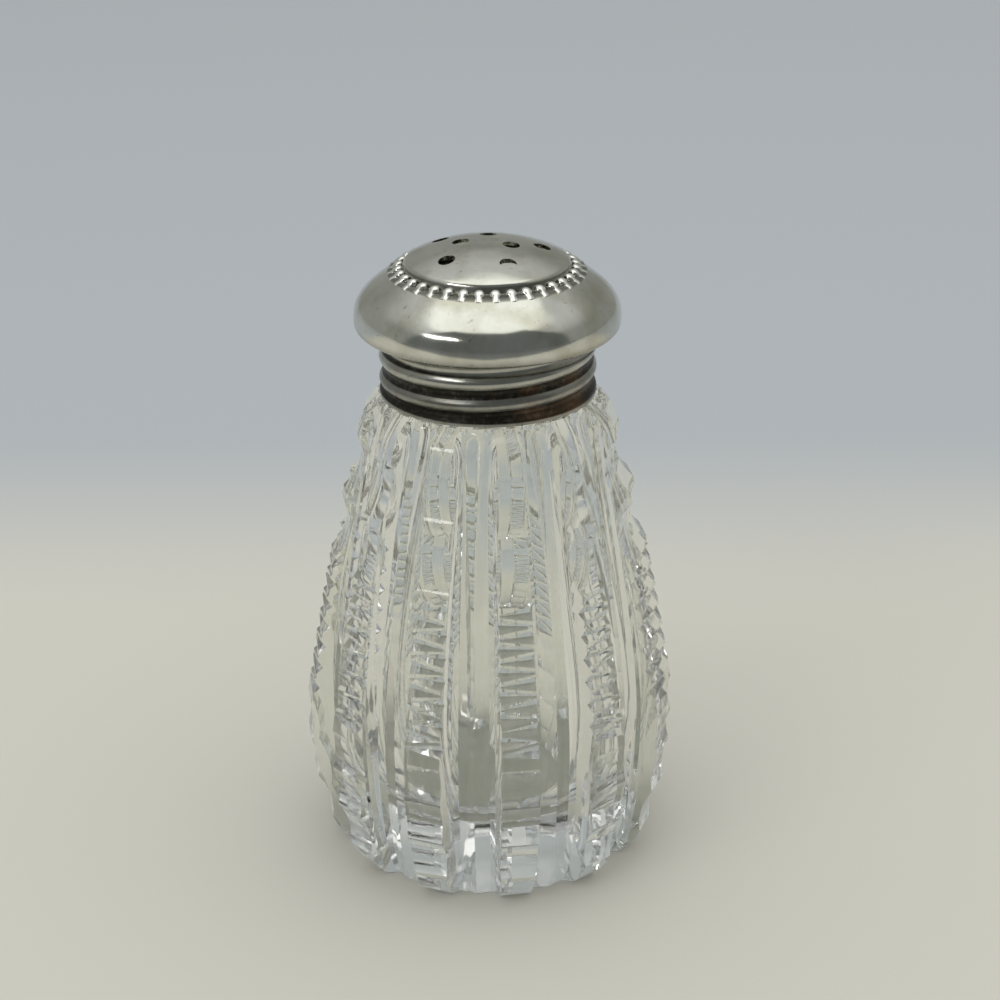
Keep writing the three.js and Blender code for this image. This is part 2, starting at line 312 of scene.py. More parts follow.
def flute_radius(row, column, ridge):
    """Radius of a row of points, counted in steps from the column's middle to the ridge."""
    hollow = min(FLUTE_DEPTH, (FLUTE_DEPTH + column - ridge) / 2)
    if row <= COLUMN_EDGE:
        return column * math.cos(COLUMN_EDGE * STEP) / math.cos(row * STEP)
    if row in FLUTE_SHARE:
        return lerp(column, ridge - hollow, FLUTE_SHARE[row])
    return lerp(ridge - hollow, ridge, (row - FLUTE_FLOOR) / (SECTOR_STEPS / 2 - FLUTE_FLOOR))


def select_row(mesh, height, row):
    """The two points of the sector that stand at a height and as many steps to either side."""
    bpy.ops.mesh.select_all(action="DESELECT")
    for vertex in mesh.verts:
        aside = abs(math.atan2(vertex.co.y, vertex.co.x))
        if abs(vertex.co.z - height * MM) < SAME_HEIGHT and abs(aside - row * STEP) < SAME_ANGLE:
            vertex.select_set(True)


blank = draw_line("bottle_glass", column_line, SECTOR / 2)  # Spin goes clockwise from here
bpy.ops.mesh.select_all(action="SELECT")
bpy.ops.mesh.spin(steps=SECTOR_STEPS, angle=SECTOR, **AXIS)
leave_edit()
edit()
sector_mesh = bmesh.from_edit_mesh(blank.data)
for point in column_line:
    ridge = radius_at(ridge_line, point.y)
    for row in range(SECTOR_STEPS // 2 + 1):
        scale = flute_radius(row, point.x, ridge) / point.x
        select_row(sector_mesh, point.y, row)
        bpy.ops.transform.resize(value=(scale, scale, 1), center_override=(0, 0, point.y * MM))
leave_edit()
print("one sector has", len(blank.data.vertices), "points")

# %% [markdown]
# Twelve sectors make the round. The foot and the ledge are then two open rings of edges, and New Face
# closes each of them. The whole is turned so that its columns stand as they do in the photograph.

# %% The whole blank
repeat_round(blank, COLUMNS)
edit()
bpy.ops.mesh.select_all(action="DESELECT")
bpy.ops.mesh.select_non_manifold(extend=False)
bpy.ops.mesh.edge_face_add()
tidy_mesh()
leave_edit()
blank.rotation_euler = (0, 0, FIRST_COLUMN)
apply_place(blank)
report(blank)

# %% [markdown]
# The neck is moulded, with one thread of a little over two turns. The thread is a rounded bead: its
# section is extruded again and again, each time turned a little and lifted by the same share of the
# pitch. The Screw modifier draws such a line too, but near both ends this one has to sink into the
# neck, as a moulded thread does.

# %% Neck and thread
ROUND_STEPS = 96  # of the neck and the space inside
LIP_ROUND = 0.45
NECK_ROOT = LEDGE_HEIGHT - 3  # the neck starts inside the blank
BEAD_FOOTING = NECK_RADIUS - 0.12 * PITCH
BEAD_CREST = NECK_RADIUS + 0.3 * PITCH
BEAD_HALF_WIDTH = 0.31 * PITCH
BEAD_TURNS = 2.5
BEAD_START = LEDGE_HEIGHT + 0.63 * PITCH
BEAD_PHASE = math.radians(123)
BEAD_STEPS = 48  # in one turn
FADE_STEPS = 8
SUNK = 0.93  # share of its radius at which the bead is all inside the neck


def thread():
    """The section is a low arc with its ends inside the neck. Without a window Rotate turns the other
    way, so its angles are below zero."""
    section = arc((BEAD_FOOTING, BEAD_START), BEAD_CREST - BEAD_FOOTING, BEAD_HALF_WIDTH, -90, 90, 8)
    piece = draw_line("neck_thread", section)
    bpy.ops.mesh.select_all(action="SELECT")
    bpy.ops.mesh.edge_face_add()
    bpy.ops.transform.resize(value=(SUNK, SUNK, 1), center_override=(0, 0, 0))
    bpy.ops.transform.rotate(value=-BEAD_PHASE, orient_axis="Z", center_override=(0, 0, 0))
    steps = round(BEAD_TURNS * BEAD_STEPS)
    lift = (0, 0, PITCH / BEAD_STEPS * MM)
    angle = -2 * math.pi / BEAD_STEPS
    before = SUNK
    for step in range(1, steps + 1):
        share = lerp(SUNK, 1, min(1, min(step, steps - step) / FADE_STEPS))
        bpy.ops.mesh.extrude_region_move(TRANSFORM_OT_translate={"value": lift})
        bpy.ops.transform.rotate(value=angle, orient_axis="Z", center_override=(0, 0, 0))
        grow = share / before
        bpy.ops.transform.resize(value=(grow, grow, 1), center_override=(0, 0, 0))
        before = share
    tidy_mesh()
    leave_edit()
    return piece


def neck():
    low_lip = LIP_HEIGHT - LIP_ROUND
    line = joined(
        [Vector((0, NECK_ROOT)), Vector((NECK_RADIUS, NECK_ROOT)), Vector((NECK_RADIUS, low_lip))],
        arc((NECK_RADIUS - LIP_ROUND, low_lip), LIP_ROUND, LIP_ROUND, 0, 90, 4),
        [Vector((NECK_RADIUS - LIP_ROUND, LIP_HEIGHT)), Vector((0, LIP_HEIGHT))],
    )
    return lathe("neck", line, ROUND_STEPS)


combine(blank, neck(), "UNION")
combine(blank, thread(), "UNION")
report(blank)

# %% [markdown]
# The space inside is smooth, with a round heel over a base of solid glass as thick as a finger's tip.
# It is cut out as one turned shape, which is easier to keep true than pushing a wall inwards.

# %% Inside
FLOOR_HEIGHT = 0.47 * WIDEST_HEIGHT
INSIDE_RADIUS = 0.815 * RIDGE_RADIUS
BORE_RADIUS = 0.755 * NECK_RADIUS


def inside():
    heel = curve([(0.7 * INSIDE_RADIUS, FLOOR_HEIGHT), (INSIDE_RADIUS, FLOOR_HEIGHT),
                  (INSIDE_RADIUS, WIDEST_HEIGHT)], 14)
    wall = curve([(INSIDE_RADIUS, WIDEST_HEIGHT), (INSIDE_RADIUS, of_bell(0.28)),
                  (1.22 * BORE_RADIUS, of_bell(0.86)), (BORE_RADIUS, LEDGE_HEIGHT)], 30)
    mouth = arc((BORE_RADIUS + LIP_ROUND, LIP_HEIGHT - LIP_ROUND), LIP_ROUND, LIP_ROUND, 180, 90, 4)
    top = LIP_HEIGHT + LIP_ROUND
    line = [Vector((0, FLOOR_HEIGHT)), *heel, *wall[1:], *mouth,
            Vector((BORE_RADIUS + LIP_ROUND, top)), Vector((0, top))]
    return lathe("inside", line, ROUND_STEPS)


combine(blank, inside(), "DIFFERENCE")
report(blank)

# %% [markdown]
# Now the wheel work. Across every column the cutter set five broad hollows, two deep ones near the
# shoulder and three shallow ones towards the foot. Each cut here is the wheel itself, a short cylinder
# taken out of the glass, because a Boolean leaves the crisp edges that a wheel leaves. A hand never
# repeats a cut exactly, so each one slips and leans a little differently.

# %% Broad hollows
COLUMN_HALF_WIDTH = 0.08 * WIDEST_RADIUS
CUT_LENGTH = 4 * COLUMN_HALF_WIDTH
SLIP = 0.05  # how far a cut may miss its place
LEAN = math.radians(1.2)
SHOULDER_WHEEL = (0.245 * WIDEST_RADIUS, 0.052 * WIDEST_RADIUS)  # radius, depth of the cut
FOOT_WHEEL = (0.36 * WIDEST_RADIUS, 0.028 * WIDEST_RADIUS)
ROUND_CUTS = [
    (of_bell(0.907), SHOULDER_WHEEL),
    (of_bell(0.69), SHOULDER_WHEEL),
    (0.96 * WIDEST_HEIGHT, FOOT_WHEEL),
    (0.62 * WIDEST_HEIGHT, FOOT_WHEEL),
    (0.26 * WIDEST_HEIGHT, FOOT_WHEEL),
]
hand = random.Random(12)
angles = [FIRST_COLUMN + column * SECTOR for column in range(COLUMNS)]


def off(limit):
    """A small miss, as a hand makes it, the same in each run."""
    return hand.uniform(-limit, limit)


def on_column(radius, angle, height):
    return radius * math.cos(angle) * MM, radius * math.sin(angle) * MM, height * MM


def round_cut(height, wheel, angle):
    """The wheel itself, lying across the column."""
    radius, depth = wheel
    middle = radius_at(column_line, height) - depth + radius + off(SLIP)
    bpy.ops.mesh.primitive_cylinder_add(
        vertices=72, radius=radius * MM, depth=CUT_LENGTH * MM,
        location=on_column(middle, angle, height + off(SLIP)),
        rotation=(math.pi / 2 + off(LEAN), 0, angle),
    )
    return bpy.context.object


for height, wheel in ROUND_CUTS:
    wheels = [round_cut(height, wheel, angle) for angle in angles]
    combine(blank, join(wheels), "DIFFERENCE")
report(blank)

# %% [markdown]
# Between the hollows runs a row of fine sharp notches, cut with a wheel that has a narrow edge. Each is
# a wedge here. Neighbours are turned a little one way and the other, as the real row has it, so that
# each bites deeper at one side. They overlap outside the glass, so they are taken out in two rounds.

# %% Notches
NOTCHES = 13
FIRST_NOTCH = of_bell(0.548)
NOTCH_PITCH = 0.0375 * (SHOULDER_HEIGHT - WIDEST_HEIGHT)
NOTCH_WIDTH = 0.92 * NOTCH_PITCH
NOTCH_DEPTH = 0.4 * NOTCH_PITCH  # the wedge stands as far out of the glass again
NOTCH_YAW = math.radians(9)


def notch_cut(height, angle, yaw):
    """A three-sided prism, its sharp edge towards the axis and level with the slope of the column."""
    low = radius_at(column_line, height - NOTCH_PITCH)
    high = radius_at(column_line, height + NOTCH_PITCH)
    slope = math.atan((high - low) / (2 * NOTCH_PITCH))
    radius = radius_at(column_line, height) + off(0.4 * SLIP)
    wedge = [(-NOTCH_DEPTH, 0), (NOTCH_DEPTH, -NOTCH_WIDTH), (NOTCH_DEPTH, NOTCH_WIDTH)]
    piece = draw_line("notch", [Vector(corner) for corner in wedge])
    bpy.ops.mesh.select_all(action="SELECT")
    bpy.ops.mesh.edge_face_add()
    bpy.ops.transform.translate(value=(0, -CUT_LENGTH / 2 * MM, 0))
    bpy.ops.mesh.extrude_region_move(TRANSFORM_OT_translate={"value": (0, CUT_LENGTH * MM, 0)})
    tidy_mesh()
    leave_edit()
    piece.rotation_euler = (off(LEAN), slope, angle + yaw + off(LEAN))
    piece.location = on_column(radius, angle, height)
    return piece


for start, yaw in ((0, NOTCH_YAW), (1, -NOTCH_YAW)):
    wedges = [
        notch_cut(FIRST_NOTCH - notch * NOTCH_PITCH, angle, yaw)
        for angle in angles
        for notch in range(start, NOTCHES, 2)
    ]
    combine(blank, join(wedges), "DIFFERENCE")
report(blank)

# %% [markdown]
# The cap's top is one thin sheet of silver, stamped over a form: a crown, a step down to a channel with
# a ring of raised beads, a round bulge, and a lip that turns in over the collar. The outline is drawn
# once for the outside and once more, a sheet's thickness inside it, and spun as one closed wall.

# %% Dome
def of_dome(share):
    """A height between the seam and the top of the crown."""
    return SEAM_HEIGHT + share * DOME_HEIGHT


BULGE_HEIGHT = of_dome(0.135)
CHANNEL_HEIGHT = of_dome(0.66)  # of its outer edge
CHANNEL_FLOOR = of_dome(0.68)
CROWN_EDGE = of_dome(0.78)
APEX_HEIGHT = of_dome(1)
CHANNEL_RADIUS = 0.731 * BULGE_RADIUS
CROWN_RADIUS = 0.618 * BULGE_RADIUS
CROWN_BROW = 0.96 * CROWN_RADIUS  # from here the crown is part of a ball
CROWN_RISE = APEX_HEIGHT - CROWN_EDGE
CROWN_SPHERE = (CROWN_RADIUS**2 + CROWN_RISE**2) / (2 * CROWN_RISE)
STEP_FOOT = CROWN_RADIUS + 0.02 * BULGE_RADIUS  # of the step between crown and channel
FLOOR_END = STEP_FOOT + 0.1
STEP_ROUND = 0.15
ROLL_CREST = BEAD_CREST + 0.12 * PITCH + SHEET
SEAM_GAP = 0.1


def crown_height(radius):
    """Height of the crown's ball at a distance from the axis."""
    return APEX_HEIGHT - CROWN_SPHERE + math.sqrt(CROWN_SPHERE**2 - radius**2)


def of_bulge(share):
    return lerp(BULGE_HEIGHT, CHANNEL_HEIGHT, share)


def dome_line():
    """From the lip over the bulge, the channel and the step to the middle of the crown."""
    seam = ROLL_CREST + SEAM_GAP
    brow_angle = math.degrees(math.acos(CROWN_BROW / CROWN_SPHERE))
    return joined(
        curve([(seam, SEAM_HEIGHT), (lerp(seam, BULGE_RADIUS, 0.8), SEAM_HEIGHT),
               (BULGE_RADIUS, lerp(SEAM_HEIGHT, BULGE_HEIGHT, 0.1)), (BULGE_RADIUS, BULGE_HEIGHT)], 16),
        curve([(BULGE_RADIUS, BULGE_HEIGHT), (BULGE_RADIUS, of_bulge(0.52)),
               (lerp(CHANNEL_RADIUS, BULGE_RADIUS, 0.49), of_bulge(0.66)),
               (CHANNEL_RADIUS, CHANNEL_HEIGHT)], 28),
        curve([(CHANNEL_RADIUS, CHANNEL_HEIGHT), (lerp(CHANNEL_RADIUS, STEP_FOOT, 0.3), CHANNEL_FLOOR),
               (FLOOR_END, CHANNEL_FLOOR)], 4),
        curve([(FLOOR_END, CHANNEL_FLOOR), (STEP_FOOT - STEP_ROUND, CHANNEL_FLOOR),
               (CROWN_RADIUS + STEP_ROUND, CROWN_EDGE), (CROWN_BROW, crown_height(CROWN_BROW))], 8),
        arc((0, APEX_HEIGHT - CROWN_SPHERE), CROWN_SPHERE, CROWN_SPHERE, brow_angle, 90, 14),
    )


def moved_in(line):
    """The line moved in by the thickness of the sheet."""
    inner = []
    for place, point in enumerate(line):
        along = line[min(place + 1, len(line) - 1)] - line[max(place - 1, 0)]
        inner.append(point + Vector((-along.y, along.x)).normalized() * SHEET)
    return inner


outside = dome_line()
wall = [*reversed(moved_in(outside)), *outside]
wall[0].x = wall[-1].x = 0  # both ends close on the axis
dome = lathe("dome", wall, 180)
report(dome)

# %% [markdown]
# Each bead is pressed up from below: a round head beside the crown that runs out in a narrow tail over
# the edge of the channel. The bead is spun from the outline of a keyhole, laid along the radius and
# tipped, and repeated round the cap. Joined as a solid, the ring becomes part of the sheet.

# %% Beads
BEADS = 36
HEAD_HALF = 0.33 * 2 * math.pi * CHANNEL_RADIUS / BEADS  # half the width of a head
HEAD_PLACE = STEP_FOOT + 0.42  # how far from the axis the heads stand
HEAD_LIFT = 0.16  # of the head's middle over the channel's floor
FLATNESS = 0.6
TAIL_HALF = 0.58 * HEAD_HALF
TAIL_LENGTH = 2.0 * HEAD_HALF
TAIL_SLOPE = math.radians(30)


def bead_ring():
    """A keyhole's outline is spun to a pin with a round head, which is then laid down and flattened."""
    neck_angle = math.degrees(math.acos(TAIL_HALF / HEAD_HALF))
    keyhole = arc((0, 0), HEAD_HALF, HEAD_HALF, -90, neck_angle, 5)
    keyhole += [Vector((TAIL_HALF, TAIL_LENGTH)), Vector((0, TAIL_LENGTH))]
    piece = lathe("beads", keyhole, 12)
    edit()
    bpy.ops.mesh.select_all(action="SELECT")
    bpy.ops.transform.rotate(value=-math.pi / 2, orient_axis="Y", center_override=(0, 0, 0))
    bpy.ops.transform.resize(value=(1, 1, FLATNESS), center_override=(0, 0, 0))
    bpy.ops.transform.rotate(value=-TAIL_SLOPE, orient_axis="Y", center_override=(0, 0, 0))
    bpy.ops.transform.translate(value=(HEAD_PLACE * MM, 0, (CHANNEL_FLOOR + HEAD_LIFT) * MM))
    bpy.ops.transform.rotate(value=math.pi / BEADS, orient_axis="Z", center_override=(0, 0, 0))
    leave_edit()
    repeat_round(piece, BEADS)
    return piece


ring = bead_ring()
report(ring)
combine(dome, ring, "UNION")
report(dome)

# %% [markdown]
# The pouring holes are punched: five in an outer ring and three near the middle, none quite in its
# place. They stand off the axis, so the outline can't hold them, and each is cut by a short cylinder
# instead, as a punch does it. One hole is choked, so a small plate fills most of it, and a small pit
# marks a fault in the sheet.

# %% Holes
HOLE_RADIUS = 0.945
PUNCH_LENGTH = 6
OUTER_RING = 6.15
INNER_RING = 2.925
HOLES = [(OUTER_RING, angle) for angle in (-122, -46, 22, 94, 178)]
HOLES += [(INNER_RING, angle) for angle in (-94, 67, 177)]
CHOKED = (OUTER_RING, 22)
CHOKE_SHAPE = (1.1, 0.6, 1)
CHOKE_DEPTH = 0.8 * SHEET  # of its middle under the crown
CHOKE_THICKNESS = 0.3 * SHEET
CHOKE_TILT = math.radians(16)
PIT = (7.6, -22)  # distance from the axis, and degrees from the front
PIT_RADIUS = 0.16


def from_front(ring, angle, height):
    """A place on a ring in metres, its angle in degrees from the front."""
    angle = math.radians(angle - 90)
    return ring * math.cos(angle) * MM, ring * math.sin(angle) * MM, height * MM


def punch(ring, angle):
    bpy.ops.mesh.primitive_cylinder_add(
        vertices=40, radius=HOLE_RADIUS * MM, depth=PUNCH_LENGTH * MM,
        location=from_front(ring, angle, APEX_HEIGHT),
    )
    return bpy.context.object


def choke():
    """A thin plate that meets the hole's left and right sides and leaves a crescent front and back."""
    bpy.ops.mesh.primitive_cylinder_add(
        vertices=40, radius=HOLE_RADIUS * MM, depth=CHOKE_THICKNESS * MM,
        location=from_front(*CHOKED, crown_height(CHOKED[0]) - CHOKE_DEPTH),
        scale=CHOKE_SHAPE, rotation=(CHOKE_TILT, 0, 0),
    )
    return bpy.context.object


def pit():
    """A small ball, a little less than half sunk in the crown."""
    bpy.ops.mesh.primitive_ico_sphere_add(
        subdivisions=2, radius=PIT_RADIUS * MM,
        location=from_front(*PIT, crown_height(PIT[0]) + 0.3 * PIT_RADIUS),
    )
    return bpy.context.object


combine(dome, join([*(punch(ring, angle) for ring, angle in HOLES), pit()]), "DIFFERENCE")
combine(dome, choke(), "UNION")
report(dome)

# %% [markdown]
# The collar is a tube of the same sheet, rolled over a screw-shaped mandrel, so its rolls run as one
# right-handed screw and fade at both ends. The tube is spun plain, and then each of its points is moved
# in by the roll's own formula: no single tool draws a screw that fades. How deep each point lies is
# kept with it, because dirt and tarnish gather there.

# %% Collar
COLLAR_CLEARANCE = 0.3
COLLAR_BOTTOM = LEDGE_HEIGHT + COLLAR_CLEARANCE
COLLAR_TOP = SEAM_HEIGHT + SHEET
ROLL_DEPTH = 0.22 * PITCH
ROLL_FADE = 0.3 * PITCH
PLAIN_END = 0.12 * PITCH
COLLAR_ROWS = 60


def roll_depth(angle, height):
    """How far a point of the tube is pressed in: nothing on a roll's crest, most in the groove."""
    along = height - (BEAD_START + (angle - BEAD_PHASE) / (2 * math.pi) * PITCH)
    from_end = min(height - COLLAR_BOTTOM, COLLAR_TOP - height) - PLAIN_END
    share = max(0, min(1, from_end / ROLL_FADE))
    fade = share * share * (3 - 2 * share)
    return ROLL_DEPTH * (1 - math.cos(along / PITCH * 2 * math.pi)) / 2 * fade


def collar():
    rows = range(COLLAR_ROWS + 1)
    heights = [lerp(COLLAR_BOTTOM, COLLAR_TOP, row / COLLAR_ROWS) for row in rows]
    line = [Vector((ROLL_CREST, height)) for height in heights]
    line += [Vector((ROLL_CREST - SHEET, height)) for height in reversed(heights)]
    line.append(line[0].copy())
    piece = lathe("collar", line, 180)
    depths = piece.data.attributes.new("groove", "FLOAT", "POINT")
    for vertex, depth in zip(piece.data.vertices, depths.data):
        spot = vertex.co / MM
        radius = math.hypot(spot.x, spot.y)
        depth.value = roll_depth(math.atan2(spot.y, spot.x), spot.z)
        shrink = (radius - depth.value) / radius
        vertex.co *= Vector((shrink, shrink, 1))
        depth.value /= ROLL_DEPTH
    return piece


collar_piece = collar()
report(collar_piece)

# %% [markdown]
# The seam of solder shows as a dull fillet in the corner under the lip. It is spun from a short hollow
# curve, as solder pulls itself into a corner.

# %% Solder
SOLDER_WIDTH = 1.25 * SHEET
SOLDER_HEIGHT = SHEET


def solder():
    inner = ROLL_CREST + SEAM_GAP
    top = SEAM_HEIGHT - SEAM_GAP
    line = curve([(inner, top - SOLDER_HEIGHT), (inner + 0.25 * SOLDER_WIDTH, top - 0.3 * SOLDER_HEIGHT),
                  (inner + SOLDER_WIDTH, top)], 8)
    return lathe("solder_seam", [*line, Vector((inner, top)), line[0].copy()])


solder_piece = solder()
report(solder_piece)

# %% [markdown]
# Each piece takes the place of the plain one in the model and moves with its body. Edges sharper
# than a small angle stay crisp, since cut glass lives by its edges.

# %% Pieces into the frame
CRISP = {"bottle_glass": 14, "dome": 35, "collar": 40, "solder_seam": 40}


def place(piece, body, node, slot):
    smooth(piece, CRISP[piece.name])
    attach(piece, body)
    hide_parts(node)


place(blank, "bottle", "glass_body", "clear_glass")
place(dome, "cap", "cap_dome", "cap_silver")
place(collar_piece, "cap", "cap_collar", "cap_silver")
place(solder_piece, "seam", "solder_ring", "solder")

# %% [markdown]
# A material is a recipe of nodes, and helpers keep each recipe short. Each helper adds its node to the
# tree that it is given and hands back the output for the next one to read. The first ones make patterns
# and colours.

# %% Node helpers for patterns and colours
def new_material(name):
    material = bpy.data.materials.new(name)
    material.use_nodes = True
    return material, material.node_tree


def add_node(tree, kind, **settings):
    node = tree.nodes.new(kind)
    for name, value in settings.items():
        setattr(node, name, value)
    return node


def feed(tree, socket, value):
    """A socket takes a number, a colour or another node's output."""
    if isinstance(value, (int, float)):
        socket.default_value = value
    elif isinstance(value, tuple):
        socket.default_value = (*value, 1)
    else:
        tree.links.new(value, socket)


def noise(tree, where, scale, detail, roughness=0.55, stretch=(1, 1, 1)):
    mapping = add_node(tree, "ShaderNodeMapping")
    mapping.inputs["Scale"].default_value = stretch
    tree.links.new(where, mapping.inputs["Vector"])
    pattern = add_node(tree, "ShaderNodeTexNoise")
    pattern.inputs["Scale"].default_value = scale
    pattern.inputs["Detail"].default_value = detail
    pattern.inputs["Roughness"].default_value = roughness
    tree.links.new(mapping.outputs["Vector"], pattern.inputs["Vector"])
    return pattern.outputs["Fac"]


def ramp(tree, value, low, high):
    """Two colours, each at its place on the ramp, with an even change between them."""
    node = add_node(tree, "ShaderNodeValToRGB")
    for element, (where, colour) in zip(node.color_ramp.elements, (low, high)):
        element.position = where
        element.color = (*colour, 1)
    tree.links.new(value, node.inputs["Fac"])
    return node.outputs["Color"]


def shade(level):
    return (level, level, level)


def mix(tree, share, first, second):
    node = add_node(tree, "ShaderNodeMix", data_type="RGBA")
    feed(tree, node.inputs[0], share)
    feed(tree, node.inputs[6], first)
    feed(tree, node.inputs[7], second)
    return node.outputs[2]


def bump(tree, shader, *layers):
    """Layers of (height, strength, depth in millimetres), one over the other."""
    normal = None
    for height, strength, depth in layers:
        node = add_node(tree, "ShaderNodeBump")
        node.inputs["Strength"].default_value = strength
        node.inputs["Distance"].default_value = depth * MM
        tree.links.new(height, node.inputs["Height"])
        if normal:
            tree.links.new(normal, node.inputs["Normal"])
        normal = node.outputs["Normal"]
    tree.links.new(normal, shader.inputs["Normal"])


# %% [markdown]
# The others work out where something is: sums, and soft steps from nothing to one. Lengths are turned
# to millimetres once, so that a recipe can use the same sizes as the pieces.

# %% Node helpers for places
def maths(tree, operation, first, second=0.0, third=0.0, clamp=False):
    node = add_node(tree, "ShaderNodeMath", operation=operation, use_clamp=clamp)
    for socket, value in zip(node.inputs, (first, second, third)):
        feed(tree, socket, value)
    return node.outputs["Value"]


def times(tree, first, second):
    return maths(tree, "MULTIPLY", first, second)


def most(tree, *values):
    """The largest of several values."""
    largest = values[0]
    for value in values[1:]:
        largest = maths(tree, "MAXIMUM", largest, value)
    return largest


def length(tree, across, along):
    squares = maths(tree, "ADD", times(tree, across, across), times(tree, along, along))
    return maths(tree, "SQRT", squares)


def above(tree, value, level, soft):
    """Nothing below a level and one above it, with a soft step round it."""
    step = add_node(tree, "ShaderNodeMapRange", interpolation_type="SMOOTHSTEP")
    feed(tree, step.inputs["Value"], value)
    step.inputs["From Min"].default_value = level - soft
    step.inputs["From Max"].default_value = level + soft
    return step.outputs["Result"]


def below(tree, value, level, soft):
    return maths(tree, "SUBTRACT", 1.0, above(tree, value, level, soft))


def between(tree, value, low, high, soft):
    return times(tree, above(tree, value, low, soft), below(tree, value, high, soft))


def own_place(tree):
    """A piece's own coordinates for patterns, and in millimetres its x, y, height and distance from the
    axis."""
    where = add_node(tree, "ShaderNodeTexCoord").outputs["Object"]
    larger = add_node(tree, "ShaderNodeVectorMath", operation="SCALE")
    larger.inputs["Scale"].default_value = 1 / MM
    tree.links.new(where, larger.inputs["Vector"])
    apart = add_node(tree, "ShaderNodeSeparateXYZ")
    tree.links.new(larger.outputs["Vector"], apart.inputs["Vector"])
    x, y, height = apart.outputs
    return SimpleNamespace(where=where, x=x, y=y, height=height, radius=length(tree, x, y))


def dress(piece, material):
    piece.data.materials.clear()
    piece.data.materials.append(material)
    print(piece.name, "wears", material.name, "of", len(material.node_tree.nodes), "nodes")


# %% [markdown]
# Glass is nearly all shape: its recipe only needs to be clear. Old glass is faintly grey, most of all
# where it is thick. Its polish waves a little, and the foot is scuffed from years of being put down.
#
# A ray may bounce about inside cut glass for a long time. A render stops following it at some point,
# and the light that it would still have brought is lost, which draws black lines round every cut. So a
# ray that has turned or crossed a surface many times is partly let straight out, by making the glass a
# little see-through for that ray only.

# %% Glass
GLASS_INDEX = 1.53
GREYER_GLASS = (0.92, 0.925, 0.885)
CLEARER_GLASS = (0.955, 0.96, 0.925)
THICK_TINT = (0.72, 0.735, 0.70)  # of the solid base, which takes a little more light
THICK_SHARE = 0.8
THICK_TOP = 0.35 * WIDEST_HEIGHT
THICK_SOFT = 1.0
GLASS_CLOUD = (90, 3)  # scale and detail of a pattern, and in some its roughness and stretch
WAVE = (260, 2)
SCUFF = (2600, 6, 0.7)
WAVE_BUMP = (0.15, 0.04)  # strength and depth
SCUFF_BUMP = (0.03, 0.01)
SCUFF_TOP = 0.8
SCUFF_SOFT = 0.4
SCUFF_ROUGHNESS = 0.05
POLISH_ROUGHNESS = (0.01, 0.002)  # what the clouds add, and the least
TURNS = 3  # reflections inside the glass that are followed
STAGES = 9  # surfaces that a ray is followed through
LET_OUT = 0.33  # share of the light still inside then that is let straight out


def let_long_rays_out(tree, shader):
    """Alpha is one, and less only for a ray that has been on its way for long."""
    rays = add_node(tree, "ShaderNodeLightPath").outputs
    turned_often = maths(tree, "GREATER_THAN", rays["Glossy Depth"], TURNS - 0.5)
    crossed_often = maths(tree, "GREATER_THAN", rays["Ray Depth"], STAGES - 0.5)
    let_out = times(tree, most(tree, turned_often, crossed_often), LET_OUT)
    tree.links.new(maths(tree, "SUBTRACT", 1.0, let_out), shader.inputs["Alpha"])


def glass_material():
    material, tree = new_material("clear_glass")
    shader = tree.nodes["Principled BSDF"]
    spot = own_place(tree)
    cloud = noise(tree, spot.where, *GLASS_CLOUD)
    wave = noise(tree, spot.where, *WAVE)
    scuff = noise(tree, spot.where, *SCUFF)
    tint = ramp(tree, cloud, (0.3, GREYER_GLASS), (0.7, CLEARER_GLASS))
    thick = times(tree, below(tree, spot.height, THICK_TOP, THICK_SOFT), THICK_SHARE)
    tree.links.new(mix(tree, thick, tint, THICK_TINT), shader.inputs["Base Color"])
    polish = maths(tree, "MULTIPLY_ADD", cloud, *POLISH_ROUGHNESS)
    worn = times(tree, below(tree, spot.height, SCUFF_TOP, SCUFF_SOFT), scuff)
    rough = maths(tree, "MULTIPLY_ADD", worn, SCUFF_ROUGHNESS, polish)
    tree.links.new(rough, shader.inputs["Roughness"])
    shader.inputs["Transmission Weight"].default_value = 1.0
    shader.inputs["IOR"].default_value = GLASS_INDEX
    let_long_rays_out(tree, shader)
    bump(tree, shader, (wave, *WAVE_BUMP), (scuff, *SCUFF_BUMP))
    return material


dress(blank, glass_material())

# %% [markdown]
# Silver is bright where hands rub it and dark where they can't reach. One recipe serves all three metal
# pieces of the cap: a mask of tarnish and painted shade says where the metal is dark, another where it
# is rubbed bright, and everything else follows from them. That mask is broken up by fine specks,
# because tarnish is never even, and it is duller than the metal.

# %% Silver
CLEAN_SILVER = (0.57, 0.57, 0.51)
WORN_SILVER = (0.76, 0.76, 0.70)
RUBBED_SILVER = (0.90, 0.90, 0.85)
YELLOWED = (0.50, 0.48, 0.40)
# Nearly black, for tarnish and for painted shade.
DARK_TARNISH_AND_SHADE = (0.030, 0.028, 0.022)
BROWN = (0.105, 0.065, 0.038)
BROWNER_BY = 0.014  # for each millimetre to one side
SILVER_CLOUD = (130, 5)
FILM = (220, 4)
SPECK = (1400, 6, 0.65)
SCRATCH = (900, 3, 0.6, (1, 0.08, 1))
CROSSING = (800, 3, 0.6, (0.1, 1, 1))
DENTS = (210, 1)
DENT_BUMP = (0.35, 0.35)
FINE_BUMP = (0.05, 0.02)
SPECK_BUMP = (0.10, 0.02)
BROKEN_TARNISH_AND_SHADE = (0.5, 0.75)  # what the specks add, and the least
SILVER_ROUGHNESS = (0.14, 0.07)  # what the clouds add, and the least
TARNISH_AND_SHADE_ROUGHNESS = 0.3


